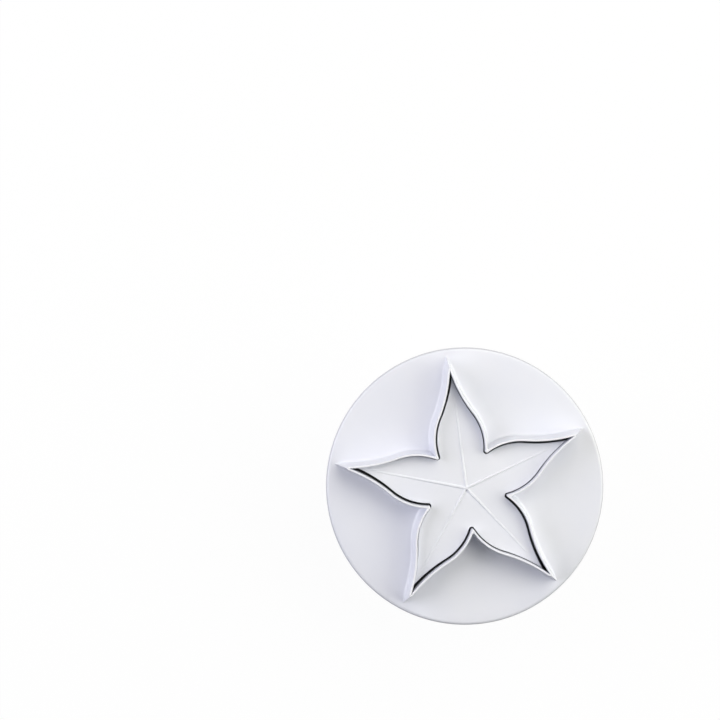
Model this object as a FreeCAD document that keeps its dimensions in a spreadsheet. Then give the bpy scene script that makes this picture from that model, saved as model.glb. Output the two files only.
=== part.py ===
"""Plunger cutter for a five-pointed calyx, in millimetres.

The cutter stands on its push knob with the cutting edge up. The axis is Z, the knob's flat outer face
lies at z = 0, and one sepal of the calyx points along -Y.
"""
import FreeCAD, Part
import math
import os
import Sketcher
from FreeCAD import Vector

SEPAL_COUNT = 5
FIRST_SEPAL_DEGREES = -90.0
ACTIVE_COILS = 6
CLOSED_COILS = 1
PITCH_RAMP_SHARE = 0.5
ARCS_PER_COIL = 4
GAP_POINTS_PER_COIL = 32

SIZES = [
    ("disc_diameter", 77.0),
    ("disc_thickness", 2.6),
    ("disc_edge_round", 1.0),
    ("calyx_tip_radius", 32.5),
    ("tip_curve_radius", 40.0),
    ("belly_station", 12.3),
    ("belly_half_width", 6.7),
    ("belly_radius", 15.2),
    ("notch_round", 0.35),
    ("outer_notch_round", 0.3),
    ("wall_height", 7.8),
    ("wall_edge_thickness", 0.5),
    ("wall_foot_thickness", 1.1),
    ("edge_tip_thickness", 0.6),
    ("foot_tip_thickness", 3.7),
    ("die_clearance", 0.45),
    ("die_retraction", 2.8),
    ("die_plate_thickness", 2.0),
    ("die_skirt_thickness", 1.2),
    ("die_boss_diameter", 10.0),
    ("die_twist_angle", -0.5),
    ("vein_length", 26.0),
    ("vein_width", 0.9),
    ("vein_crest_width", 0.25),
    ("vein_height", 0.35),
    ("vein_tail_height", 0.08),
    ("vein_hub_diameter", 1.5),
    ("vein_hub_height", 0.2),
    ("stem_length", 22.5),
    ("stem_foot_diameter", 22.4),
    ("stem_end_diameter", 19.8),
    ("stem_bore_diameter", 16.6),
    ("stem_end_round", 0.4),
    ("mouth_chamfer", 0.8),
    ("shaft_diameter", 6.0),
    ("shaft_end_chamfer", 0.4),
    ("guide_clearance", 0.1),
    ("socket_clearance", 0.03),
    ("knob_diameter", 23.2),
    ("knob_rim_height", 2.4),
    ("knob_rim_round", 1.1),
    ("knob_neck_diameter", 14.0),
    ("knob_skirt_thickness", 1.2),
    ("knob_skirt_height", 13.0),
    ("knob_collar_height", 3.0),
    ("knob_collar_chamfer", 0.4),
    ("knob_boss_diameter", 8.6),
    ("knob_boss_height", 8.0),
    ("plunger_travel", 2.4),
    ("press_clearance", 0.8),
    ("spring_wire_diameter", 0.8),
    ("spring_mean_diameter", 10.0),
    ("spring_coil_gap", 0.5),
    ("spring_seat_clearance", 0.03),
]

# Levels along the axis, each a sum of sizes, from the knob's outer face up to the cutting edge.
STEM_END = "(sizes.knob_rim_height + sizes.press_clearance + sizes.plunger_travel)"
DISC_BACK = f"({STEM_END} + sizes.stem_length)"
DISC_FACE = f"({DISC_BACK} + sizes.disc_thickness)"
CUTTING_EDGE = f"({DISC_FACE} + sizes.wall_height)"
DIE_FACE = f"({CUTTING_EDGE} - sizes.die_retraction)"
DIE_PLATE_BACK = f"({DIE_FACE} - sizes.die_plate_thickness)"
KNOB_FLOOR = "sizes.knob_rim_height"

# Radii that more than one piece uses.
BORE_RADIUS = "(sizes.stem_bore_diameter / 2)"
SHAFT_RADIUS = "(sizes.shaft_diameter / 2)"
SOCKET_RADIUS = f"({SHAFT_RADIUS} + sizes.socket_clearance)"
GUIDE_RADIUS = f"({SHAFT_RADIUS} + sizes.guide_clearance)"

doc = FreeCAD.newDocument("plunger_cutter")
sheet = doc.addObject("Spreadsheet::Sheet", "sizes")
for row, (alias, number) in enumerate(SIZES, start=1):
    sheet.set(f"A{row}", alias)
    sheet.set(f"B{row}", str(number))
    sheet.setAlias(f"B{row}", alias)
doc.recompute()


def size(formula):
    """The present value of a formula in the sheet's sizes, in millimetres or degrees."""
    return float(sheet.evalExpression(formula))


def named(alias):
    """The present value of one size."""
    return size("sizes." + alias)


def origin_plane(body, role):
    """The body's own origin plane with the given role."""
    return [plane for plane in body.Origin.OriginFeatures if plane.Role == role][0]


def arc_between(start, end, radius, turn):
    """A circular arc from start to end; turn is 1 for anticlockwise and -1 for clockwise."""
    chord = end - start
    middle = (start + end) / 2
    depth = math.sqrt(max(radius ** 2 - (chord.Length / 2) ** 2, 0))
    side = Vector(-chord.y, chord.x, 0)
    side.normalize()
    centre = middle + side * depth * turn
    first, last = (start, end) if turn > 0 else (end, start)
    angle_from = math.atan2(first.y - centre.y, first.x - centre.x)
    angle_to = math.atan2(last.y - centre.y, last.x - centre.x)
    if angle_to < angle_from:
        angle_to += 2 * math.pi
    circle = Part.Circle(centre, Vector(0, 0, 1), radius)
    return Part.ArcOfCircle(circle, angle_from, angle_to)


def turned_body(label, corners):
    """A body of revolution about Z.

    Each corner is a pair of formulas for radius and height. A corner may also carry a radius formula and
    a turn, and then an arc and not a line leads from it to the next corner.
    """
    body = doc.addObject("PartDesign::Body", label)
    sketch = body.newObject("Sketcher::SketchObject", label + "_profile")
    sketch.AttachmentSupport = [(origin_plane(body, "XZ_Plane"), "")]
    sketch.MapMode = "FlatFace"
    places = [Vector(size(corner[0]), size(corner[1]), 0) for corner in corners]
    count = len(corners)
    starts = []
    ends = []
    for index, corner in enumerate(corners):
        here = places[index]
        there = places[(index + 1) % count]
        if len(corner) == 2:
            curve = sketch.addGeometry(Part.LineSegment(here, there), False)
            starts.append((curve, 1))
            ends.append((curve, 2))
        else:
            curve = sketch.addGeometry(arc_between(here, there, size(corner[2]), corner[3]), False)
            starts.append((curve, 1) if corner[3] > 0 else (curve, 2))
            ends.append((curve, 2) if corner[3] > 0 else (curve, 1))
    for index in range(count):
        follow = starts[(index + 1) % count]
        sketch.addConstraint(Sketcher.Constraint("Coincident", *ends[index], *follow))
    for index, corner in enumerate(corners):
        for kind, formula, axis in (("DistanceX", corner[0], -2), ("DistanceY", corner[1], -1)):
            if formula == "0":
                sketch.addConstraint(Sketcher.Constraint("PointOnObject", *starts[index], axis))
            else:
                rule = Sketcher.Constraint(kind, -1, 1, *starts[index], size(formula))
                number = sketch.addConstraint(rule)
                sketch.setExpression(f"Constraints[{number}]", formula)
        if len(corner) > 2:
            rule = Sketcher.Constraint("Radius", starts[index][0], size(corner[2]))
            number = sketch.addConstraint(rule)
            sketch.setExpression(f"Constraints[{number}]", corner[2])
    turned = body.newObject("PartDesign::Revolution", label + "_turned")
    turned.Profile = sketch
    turned.ReferenceAxis = (sketch, ["V_Axis"])
    turned.Angle = 360
    return body


def polar(length, radians):
    """A point in the plane at a distance and a direction from the axis."""
    return Vector(length * math.cos(radians), length * math.sin(radians), 0)


def arc_about(centre, start, end):
    """The short arc about a centre from start to end."""
    half = (start - centre) + (end - centre)
    half.normalize()
    return Part.Arc(start, centre + half * (start - centre).Length, end).toShape()


def calyx_outline(offset, notch, twist, level, tip_wall=0):
    """The closed outline of the calyx at a height.

    Each side of a sepal is a convex belly arc, which runs into a concave arc that ends at the sharp tip,
    and a small arc fills the notch to the next sepal. An offset moves the sides outwards by that much.
    Outside the hollow two straight sides lead on from beside its tip to a point that far beyond it.
    """
    belly = Vector(named("belly_station"), named("belly_half_width") - named("belly_radius"), 0)
    tip = Vector(named("calyx_tip_radius"), 0, 0)
    reach = tip - belly
    both = named("belly_radius") + named("tip_curve_radius")
    along = (reach.Length ** 2 + both ** 2 - named("tip_curve_radius") ** 2) / (2 * reach.Length)
    across = math.sqrt(both ** 2 - along ** 2)
    ahead = Vector(reach)
    ahead.normalize()
    hollow = belly + ahead * along + Vector(-ahead.y, ahead.x, 0) * across
    belly_radius = named("belly_radius") + offset
    hollow_radius = named("tip_curve_radius") - offset

    split = math.pi / SEPAL_COUNT
    ridge = polar(1, split)
    shadow = belly.dot(ridge)
    root = math.sqrt(shadow ** 2 - belly.Length ** 2 + (belly_radius + notch) ** 2)
    valley = ridge * (shadow + root)

    to_belly = belly - valley
    to_belly.normalize()
    to_hollow = hollow - belly
    to_hollow.normalize()
    from_tip = hollow - tip
    from_tip.normalize()
    notch_end = valley + to_belly * notch
    bend = belly + to_hollow * belly_radius
    if offset > 0:
        shoulder = tip + from_tip * offset
        point = tip + Vector(tip_wall, 0, 0)
    else:
        shoulder = Vector(hollow.x - math.sqrt(hollow_radius ** 2 - hollow.y ** 2), 0, 0)
        point = shoulder

    edges = []
    for number in range(SEPAL_COUNT):
        heading = math.radians(FIRST_SEPAL_DEGREES + twist) + 2 * split * number

        def place(spot, mirrored=1, heading=heading):
            turned = math.atan2(mirrored * spot.y, spot.x) + heading
            return polar(math.hypot(spot.x, spot.y), turned) + Vector(0, 0, level)

        edges.append(arc_about(place(belly, -1), place(notch_end, -1), place(bend, -1)))
        edges.append(arc_about(place(hollow, -1), place(bend, -1), place(shoulder, -1)))
        if offset > 0:
            edges.append(Part.LineSegment(place(shoulder, -1), place(point)).toShape())
            edges.append(Part.LineSegment(place(point), place(shoulder)).toShape())
        edges.append(arc_about(place(hollow), place(shoulder), place(bend)))
        edges.append(arc_about(place(belly), place(bend), place(notch_end)))
        mirror_end = polar(notch_end.Length, 2 * split - math.atan2(notch_end.y, notch_end.x))
        edges.append(arc_about(place(valley), place(notch_end), place(mirror_end)))
    return Part.Wire(edges)


def outline_object(label, offset, notch, twist, level, tip_wall=0):
    """The outline as an object of the document."""
    outline = doc.addObject("Part::Feature", label)
    outline.Shape = calyx_outline(offset, notch, twist, level, tip_wall)
    return outline


def raised(label, outline, height):
    """A solid raised from an outline by a formula's height."""
    block = doc.addObject("Part::Extrusion", label)
    block.Base = outline
    block.DirMode = "Custom"
    block.Dir = Vector(0, 0, 1)
    block.Solid = True
    block.setExpression("LengthFwd", height)
    return block


def round_bar(label, radius, foot, height):
    """A cylinder on the axis with formulas for its radius, foot level and height."""
    bar = doc.addObject("Part::Cylinder", label)
    bar.setExpression("Radius", radius)
    bar.setExpression("Height", height)
    bar.setExpression("Placement.Base.z", foot)
    return bar


def less(label, base, tool):
    """The base without the tool."""
    cut = doc.addObject("Part::Cut", label)
    cut.Base = base
    cut.Tool = tool
    return cut


def joined(label, base, tool):
    """One solid of two overlapping pieces."""
    union = doc.addObject("Part::Fuse", label)
    union.Base = base
    union.Tool = tool
    return union


# Guard disc: a flat plate with a rounded rim and the guide hole for the shaft.
DISC_RADIUS = "sizes.disc_diameter / 2"
DISC_FLAT = f"{DISC_RADIUS} - sizes.disc_edge_round"
guard_disc = turned_body("guard_disc", [
    (GUIDE_RADIUS, DISC_BACK),
    (DISC_FLAT, DISC_BACK, "sizes.disc_edge_round", 1),
    (DISC_RADIUS, f"{DISC_BACK} + sizes.disc_edge_round"),
    (DISC_RADIUS, f"{DISC_FACE} - sizes.disc_edge_round", "sizes.disc_edge_round", 1),
    (DISC_FLAT, DISC_FACE),
    (GUIDE_RADIUS, DISC_FACE),
])

# Stem: a tapered sleeve with a straight bore and a chamfered mouth.
STEM_END_RADIUS = "sizes.stem_end_diameter / 2"
stem_sleeve = turned_body("stem_sleeve", [
    (f"{BORE_RADIUS} + sizes.mouth_chamfer", STEM_END),
    (f"{STEM_END_RADIUS} - sizes.stem_end_round", STEM_END, "sizes.stem_end_round", 1),
    (STEM_END_RADIUS, f"{STEM_END} + sizes.stem_end_round"),
    ("sizes.stem_foot_diameter / 2", DISC_BACK),
    (BORE_RADIUS, DISC_BACK),
    (BORE_RADIUS, f"{STEM_END} + sizes.mouth_chamfer"),
])

# Push knob: a round rim, a concave flare, and a hollow neck whose collar runs in the stem's bore.
KNOB_RADIUS = "sizes.knob_diameter / 2"
RIM_FLAT = f"({KNOB_RADIUS} - sizes.knob_rim_round)"
NECK_RADIUS = "(sizes.knob_neck_diameter / 2)"
FLARE_RADIUS = f"({RIM_FLAT} - {NECK_RADIUS})"
COLLAR_RADIUS = f"({BORE_RADIUS} - sizes.guide_clearance)"
COLLAR_FOOT = "(sizes.knob_skirt_height - sizes.knob_collar_height)"
HOLLOW_RADIUS = f"({NECK_RADIUS} - sizes.knob_skirt_thickness)"
push_knob = turned_body("push_knob", [
    ("0", "0"),
    (RIM_FLAT, "0", "sizes.knob_rim_round", 1),
    (KNOB_RADIUS, "sizes.knob_rim_round"),
    (KNOB_RADIUS, "sizes.knob_rim_height - sizes.knob_rim_round", "sizes.knob_rim_round", 1),
    (RIM_FLAT, "sizes.knob_rim_height", FLARE_RADIUS, -1),
    (NECK_RADIUS, f"sizes.knob_rim_height + {FLARE_RADIUS}"),
    (NECK_RADIUS, f"{COLLAR_FOOT} - ({COLLAR_RADIUS} - {NECK_RADIUS})"),
    (COLLAR_RADIUS, COLLAR_FOOT),
    (COLLAR_RADIUS, "sizes.knob_skirt_height - sizes.knob_collar_chamfer"),
    (f"{COLLAR_RADIUS} - sizes.knob_collar_chamfer", "sizes.knob_skirt_height"),
    (HOLLOW_RADIUS, "sizes.knob_skirt_height"),
    (HOLLOW_RADIUS, KNOB_FLOOR),
    ("sizes.knob_boss_diameter / 2", KNOB_FLOOR),
    ("sizes.knob_boss_diameter / 2", "sizes.knob_boss_height"),
    (SOCKET_RADIUS, "sizes.knob_boss_height"),
    (SOCKET_RADIUS, KNOB_FLOOR),
    ("0", KNOB_FLOOR),
])

# Plunger shaft: a plain bar from the knob's socket through the guide hole to the die's socket.
plunger_shaft = turned_body("plunger_shaft", [
    ("0", KNOB_FLOOR),
    (f"{SHAFT_RADIUS} - sizes.shaft_end_chamfer", KNOB_FLOOR),
    (SHAFT_RADIUS, f"{KNOB_FLOOR} + sizes.shaft_end_chamfer"),
    (SHAFT_RADIUS, f"{DIE_PLATE_BACK} - sizes.shaft_end_chamfer"),
    (f"{SHAFT_RADIUS} - sizes.shaft_end_chamfer", DIE_PLATE_BACK),
    ("0", DIE_PLATE_BACK),
])

# Calyx wall: straight inside, drafted outside from a thick foot to a thin cutting edge.
disc_face = size(DISC_FACE)
outer_notch = named("outer_notch_round")
foot_tip = named("foot_tip_thickness")
edge_tip = named("edge_tip_thickness")
wall_foot = outline_object("wall_foot", named("wall_foot_thickness"), outer_notch, 0, disc_face, foot_tip)
cutting_edge = size(CUTTING_EDGE)
wall_edge = outline_object("wall_edge", named("wall_edge_thickness"), outer_notch, 0, cutting_edge, edge_tip)
wall_hollow = outline_object("wall_hollow", 0, named("notch_round"), 0, disc_face)
wall_block = doc.addObject("Part::Loft", "wall_block")
wall_block.Sections = [wall_foot, wall_edge]
wall_block.Solid = True
wall_block.Ruled = True
calyx_wall = less("calyx_wall", wall_block, raised("wall_core", wall_hollow, "sizes.wall_height"))

# Embossing die: a calyx plate with a skirt and a boss behind it and five tapering veins on its face.
die_offset = -named("die_clearance")
die_notch = named("notch_round") + named("die_clearance")
hollow_offset = die_offset - named("die_skirt_thickness")
hollow_notch = die_notch + named("die_skirt_thickness")
twist = named("die_twist_angle")
die_outline = outline_object("die_outline", die_offset, die_notch, twist, disc_face)
skirt_outline = outline_object("skirt_outline", hollow_offset, hollow_notch, twist, disc_face)
die_block = raised("die_block", die_outline, f"{DIE_FACE} - {DISC_FACE}")
skirt_core = raised("skirt_core", skirt_outline, f"{DIE_PLATE_BACK} - {DISC_FACE}")
boss_height = f"{DIE_PLATE_BACK} - {DISC_FACE}"
die_boss = round_bar("die_boss", "sizes.die_boss_diameter / 2", DISC_FACE, boss_height)
die_hollow = less("die_hollow", skirt_core, die_boss)
die_socket = round_bar("die_socket", SOCKET_RADIUS, DISC_FACE, boss_height)
hub_height = "sizes.vein_height + sizes.vein_hub_height"
vein_hub = round_bar("vein_hub", "sizes.vein_hub_diameter / 2", f"{DIE_FACE} - sizes.vein_height", hub_height)
die_solid = joined("die_hub", die_block, vein_hub)
vein_fall = math.atan2(named("vein_height") - named("vein_tail_height"), named("vein_length"))
for number in range(SEPAL_COUNT):
    vein = doc.addObject("Part::Wedge", f"vein_{number}")
    for along in ("Xmin", "X2min"):
        vein.setExpression(along, "sizes.vein_hub_diameter / 4")
    for along in ("Xmax", "X2max"):
        vein.setExpression(along, "sizes.vein_length")
    vein.setExpression("Ymin", "-sizes.vein_height")
    vein.setExpression("Ymax", "sizes.vein_height")
    vein.setExpression("Zmin", "-sizes.vein_width + sizes.vein_crest_width / 2")
    vein.setExpression("Zmax", "sizes.vein_width - sizes.vein_crest_width / 2")
    vein.setExpression("Z2min", "-sizes.vein_crest_width / 2")
    vein.setExpression("Z2max", "sizes.vein_crest_width / 2")
    upright = FreeCAD.Rotation(Vector(1, 0, 0), 90)
    sloped = FreeCAD.Rotation(Vector(0, 1, 0), math.degrees(vein_fall))
    heading = FIRST_SEPAL_DEGREES + twist + 360 * number / SEPAL_COUNT
    around = FreeCAD.Rotation(Vector(0, 0, 1), heading)
    vein.Placement.Rotation = around * sloped * upright
    vein.setExpression("Placement.Base.z", DIE_FACE)
    die_solid = joined(f"veined_{number}", die_solid, vein)
embossing_die = less("embossing_die", less("die_shell", die_solid, die_hollow), die_socket)


def helix_point(coil, coils, pitch, slack):
    """The wire's centre, and its direction, after a number of coils."""
    ramp = PITCH_RAMP_SHARE
    rise = 0.0
    slope = 0.0
    for edge, sense in ((CLOSED_COILS, 1), (coils - CLOSED_COILS - ramp, -1)):
        share = min(max((coil - edge) / ramp, 0), 1)
        slope += sense * share ** 2 * (3 - 2 * share)
        rise += sense * (ramp * (share ** 3 - share ** 4 / 2) + max(coil - edge - ramp, 0))
    radius = named("spring_mean_diameter") / 2
    turn = 2 * math.pi * coil
    spot = polar(radius, turn) + Vector(0, 0, pitch * coil + slack * rise)
    direction = polar(2 * math.pi * radius, turn + math.pi / 2) + Vector(0, 0, pitch + slack * slope)
    direction.normalize()
    return spot, direction


def tangent_arc(start, direction, end):
    """The arc from start to end that leaves start in the given direction."""
    chord = end - start
    aside = chord - direction * chord.dot(direction)
    reach = chord.Length ** 2 / (2 * aside.Length)
    aside.normalize()
    centre = start + aside * reach
    half = (start - centre) + (end - centre)
    half.normalize()
    return Part.Arc(start, centre + half * reach, end).toShape()


# Return spring: a wire wound about the shaft, with one nearly closed coil at each end.
wire = named("spring_wire_diameter")
coils = ACTIVE_COILS + 2 * CLOSED_COILS
closed_pitch = wire + named("spring_coil_gap")
spring_foot = size(KNOB_FLOOR) + named("spring_seat_clearance") + wire / 2
spring_head = size(DISC_BACK) - named("spring_seat_clearance") - wire / 2
open_coils = coils - 2 * CLOSED_COILS - PITCH_RAMP_SHARE
spring_slack = (spring_head - spring_foot - closed_pitch * coils) / open_coils
path = []
lift = Vector(0, 0, spring_foot)
for step in range(coils * ARCS_PER_COIL):
    begin, heading = helix_point(step / ARCS_PER_COIL, coils, closed_pitch, spring_slack)
    finish, bearing = helix_point((step + 1) / ARCS_PER_COIL, coils, closed_pitch, spring_slack)
    across = finish - begin
    both = heading + bearing
    curl = 2 * (1 - heading.dot(bearing))
    drop = across.dot(both)
    reach = (math.sqrt(drop ** 2 + curl * across.Length ** 2) - drop) / curl
    middle = (begin + finish + (heading - bearing) * reach) / 2
    path.append(tangent_arc(begin + lift, heading, middle + lift))
    back = tangent_arc(finish + lift, bearing * -1, middle + lift)
    path.append(Part.Arc(*[back.valueAt(at) for at in (
        back.LastParameter,
        (back.FirstParameter + back.LastParameter) / 2,
        back.FirstParameter,
    )]).toShape())
start, heading = helix_point(0, coils, closed_pitch, spring_slack)
section = Part.Wire(Part.Circle(start + lift, heading, wire / 2).toShape())
tube = Part.Wire(path).makePipeShell([section], True, False)
return_spring = doc.addObject("Part::Feature", "return_spring")
return_spring.Shape = tube if tube.ShapeType == "Solid" else Part.Solid(tube.Shells[0])
return_spring.Placement = FreeCAD.Placement()

marks = [helix_point(step / GAP_POINTS_PER_COIL, coils, closed_pitch, spring_slack)[0]
         for step in range(coils * GAP_POINTS_PER_COIL + 1)]
apart = GAP_POINTS_PER_COIL // 2
least = min((second - first).Length
            for number, first in enumerate(marks)
            for second in marks[number + apart:])
print("spring: least gap to itself", round(least - wire, 3), "mm")

# Everything is worked out and looked over before any piece is written.
doc.recompute()
PIECES = [guard_disc, calyx_wall, stem_sleeve, embossing_die, plunger_shaft, return_spring, push_knob]
for item in doc.Objects:
    if "Invalid" in item.State or "Error" in item.State:
        raise RuntimeError(f"{item.Label} could not be worked out: {item.State}")
for piece in PIECES:
    if piece.Shape.isNull() or not piece.Shape.isValid() or len(piece.Shape.Solids) != 1:
        raise RuntimeError(f"{piece.Label} is not one sound solid")
    box = piece.Shape.BoundBox
    print(piece.Label, round(piece.Shape.Volume, 1), "mm3, height",
          round(box.ZMin, 2), "to", round(box.ZMax, 2))

os.makedirs("parts", exist_ok=True)
for piece in PIECES:
    piece.Shape.exportStep(f"parts/{piece.Label}.step")
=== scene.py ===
"""Looks of a calyx plunger cutter: a white moulded cutter, its veined die, push knob and return spring.

Everything is in metres in the frame of the packed part: the axis is Z, the cutter stands on its knob at
z = 0 with the cutting edge up, and one sepal of the calyx points along -Y.
"""
import math

import bpy
import numpy as np
from bpy.props import FloatProperty, FloatVectorProperty, IntProperty, PointerProperty
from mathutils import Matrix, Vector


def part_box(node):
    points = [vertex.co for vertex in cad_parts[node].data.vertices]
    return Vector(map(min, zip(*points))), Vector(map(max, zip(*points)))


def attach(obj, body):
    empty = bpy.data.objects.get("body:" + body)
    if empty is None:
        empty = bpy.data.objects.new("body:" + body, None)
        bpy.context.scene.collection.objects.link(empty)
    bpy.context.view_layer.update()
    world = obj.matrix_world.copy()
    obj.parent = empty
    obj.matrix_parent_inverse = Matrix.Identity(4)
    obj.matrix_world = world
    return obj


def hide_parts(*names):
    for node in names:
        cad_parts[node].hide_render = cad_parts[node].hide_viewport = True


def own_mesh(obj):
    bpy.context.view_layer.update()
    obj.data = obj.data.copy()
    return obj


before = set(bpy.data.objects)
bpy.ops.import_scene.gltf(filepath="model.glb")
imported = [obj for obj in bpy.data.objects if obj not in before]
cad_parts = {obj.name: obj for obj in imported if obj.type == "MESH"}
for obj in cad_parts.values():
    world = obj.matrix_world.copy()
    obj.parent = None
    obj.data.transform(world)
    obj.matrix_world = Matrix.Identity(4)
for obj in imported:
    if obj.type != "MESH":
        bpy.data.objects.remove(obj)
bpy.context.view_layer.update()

bl_info = {
    "name": "Calyx plunger cutter",
    "version": (1, 0, 0),
    "blender": (4, 5, 0),
    "location": "3D View > Sidebar > Cutter",
    "description": "Builds the visible pieces of a calyx plunger cutter round its packed frame",
    "category": "Object",
}

DISC_LOW, DISC_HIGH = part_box("guard_disc")
WALL_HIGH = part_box("calyx_wall")[1]
STEM_LOW, STEM_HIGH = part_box("stem_sleeve")
KNOB_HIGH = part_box("push_knob")[1]
SPRING_LOW, SPRING_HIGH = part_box("return_spring")

SEPALS = 5
SECTOR = math.pi / SEPALS
FIRST_SEPAL = -math.pi / 2
QUARTER = math.pi / 2
VEIN_FADE_SHARE = 0.9
VEIN_CREST_SHARE = 0.3
# Share of the rim's rounding, from its outer edge, that is painted grey as painted shade.
RIM_SHADE_SHARE = 0.3
DIE_ROWS = 120
DIE_CROWDING = 1.15


def length(name, description, default):
    """A size in metres that a user may change."""
    return FloatProperty(name=name, description=description, default=default, unit="LENGTH", precision=5)


def share(name, description, default):
    """A number from nought to one."""
    return FloatProperty(name=name, description=description, default=default, min=0, max=1, subtype="FACTOR")


def angle(name, description, degrees):
    """An angle, given in degrees and kept in radians."""
    default = math.radians(degrees)
    return FloatProperty(name=name, description=description, default=default, subtype="ANGLE")


def watts(name, description, default):
    """The power of a lamp."""
    return FloatProperty(name=name, description=description, default=default, unit="POWER")


def count(name, description, default):
    """A whole number above nought."""
    return IntProperty(name=name, description=description, default=default, min=1)


def colour(name, description, default):
    """A linear colour."""
    return FloatVectorProperty(
        name=name, description=description, default=default, size=3, min=0, max=1, subtype="COLOR")


class CalyxShape(bpy.types.PropertyGroup):
    """Outline of the hollow inside the calyx wall."""
    tip_radius: length("Tip radius", "Axis to the hollow's tips", 0.0325)
    tip_curve: length("Tip curve", "Radius of the concave side near a tip", 0.040)
    belly_station: length("Belly station", "Axis to the widest place of a sepal", 0.0123)
    belly_half_width: length("Belly half width", "Half of a sepal's greatest width", 0.0067)
    belly_radius: length("Belly radius", "Radius of the convex side of a sepal", 0.0152)
    notch_round: length("Notch round", "Radius inside the notch between sepals", 0.00035)
    outer_notch: length("Outer notch", "Radius outside the wall in the same notch", 0.0003)
    edge_thickness: length("Edge thickness", "Wall thickness at the cutting edge", 0.0005)
    foot_thickness: length("Foot thickness", "Wall thickness at the disc", 0.0011)
    edge_tip: length("Edge tip", "Wall beyond the hollow's tip at the cutting edge", 0.0006)
    foot_tip: length("Foot tip", "Wall beyond the hollow's tip at the disc", 0.0037)
    ridge_softness: share("Ridge softness", "How far the outer tips are rounded off", 0.0012)
    columns: count("Columns", "Columns of the grid in half a sepal", 48)


class MouldingSizes(bpy.types.PropertyGroup):
    """Disc, wall and stem."""
    edge_round: length("Edge round", "Rounding of the cutting edge", 0.00014)
    foot_fillet: length("Foot fillet", "Fillet between wall and disc", 0.0008)
    rim_round: length("Rim round", "Rounding of the disc's rim", 0.0010)
    guide_radius: length("Guide radius", "Hole that the shaft runs in", 0.0031)
    stem_end_radius: length("Stem end radius", "Outer radius of the stem at its open end", 0.0099)
    stem_end_round: length("Stem end round", "Rounding of the stem's open end", 0.0004)
    stem_fillet: length("Stem fillet", "Fillet between stem and disc", 0.0004)
    bore_radius: length("Bore radius", "Bore that the knob's collar runs in", 0.0083)
    mouth_chamfer: length("Mouth chamfer", "Chamfer of the bore's mouth", 0.0008)


class DieSizes(bpy.types.PropertyGroup):
    """Embossing die with its veins."""
    clearance: length("Clearance", "Gap between die and wall", 0.00045)
    retraction: length("Retraction", "Die face below the cutting edge at rest", 0.0028)
    twist: angle("Twist", "Play of the die about the axis", -0.7)
    edge_round: length("Edge round", "Rounding round the die's face", 0.00018)
    plate_thickness: length("Plate thickness", "Thickness of the die's plate", 0.0020)
    skirt_thickness: length("Skirt thickness", "Thickness of the skirt behind the plate", 0.0012)
    boss_radius: length("Boss radius", "Boss behind the plate", 0.0050)
    socket_radius: length("Socket radius", "Socket for the shaft", 0.00303)
    vein_length: length("Vein length", "Axis to a vein's end", 0.0260)
    vein_width: length("Vein width", "Width of a vein at the hub", 0.00090)
    vein_tail_width: length("Vein tail width", "Width of a vein at its end", 0.00055)
    # Painted highlight: the veins' crests are painted paler.
    vein_highlight: share("Vein wear", "How pale the veins' crests are", 0.35)
    vein_height: length("Vein height", "Height of a vein at the hub", 0.00033)
    vein_tail_height: length("Vein tail height", "Height of a vein near its end", 0.00008)
    pit_radius: length("Pit radius", "Gate mark beside the hub", 0.00042)
    pit_depth: length("Pit depth", "Depth of the gate mark", 0.00060)
    pit_distance: length("Pit distance", "Axis to the gate mark", 0.00085)
    pit_heading: angle("Pit heading", "Direction of the gate mark from the axis", -58.0)


class KnobSizes(bpy.types.PropertyGroup):
    """Push knob."""
    rim_height: length("Rim height", "Height of the knob's rim", 0.0024)
    rim_round: length("Rim round", "Rounding of the rim", 0.0011)
    neck_radius: length("Neck radius", "Neck between rim and stem", 0.0070)
    skirt_thickness: length("Skirt thickness", "Wall of the hollow neck", 0.0012)
    collar_radius: length("Collar radius", "Collar that runs in the bore", 0.0082)
    collar_height: length("Collar height", "Height of the collar", 0.0030)
    collar_chamfer: length("Collar chamfer", "Chamfer at the collar's end", 0.0004)
    boss_radius: length("Boss radius", "Boss round the shaft's socket", 0.0043)
    boss_level: length("Boss level", "End of that boss above the knob's face", 0.0080)
    socket_radius: length("Socket radius", "Socket for the shaft", 0.00303)
    columns: count("Columns", "Columns round the knob", 192)


class SpringSizes(bpy.types.PropertyGroup):
    """Return spring."""
    wire: length("Wire", "Diameter of the wire", 0.0008)
    coil_gap: length("Coil gap", "Gap between the closed end coils", 0.0005)
    coils: count("Coils", "All coils", 8)
    closed_coils: count("Closed coils", "Closed coils at each end", 1)
    ramp: share("Ramp", "Part of a coil over which the pitch opens", 0.5)
    steps: count("Steps", "Rings of the grid in one coil", 56)
    sides: count("Sides", "Points round the wire", 14)


class Finishes(bpy.types.PropertyGroup):
    """Colours and gloss."""
    plastic: colour("Plastic", "White of the cutter and the knob", (0.80, 0.81, 0.86))
    die_plastic: colour("Die plastic", "White of the die", (0.80, 0.81, 0.85))
    shaft_plastic: colour("Shaft plastic", "White of the shaft", (0.76, 0.77, 0.80))
    steel: colour("Steel", "Spring wire", (0.56, 0.55, 0.53))
    gloss_roughness: share("Gloss roughness", "Roughness of the cutter and the knob", 0.34)
    satin_roughness: share("Satin roughness", "Roughness of the die", 0.42)
    # Painted shade: the gap round the die is painted near-black, darkening over a reach below the die's face.
    painted_shade_strength: share("Recess", "Darkness deep in the gap round the die", 0.9)
    gap_shade_reach: length("Recess reach", "Die face to where that gap is darkest", 0.0016)
    # Painted shade: a thin grey band painted round the rim's outer edge.
    rim_shade: share("Parting", "Grey of the parting line round the rim", 0.3)


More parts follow.
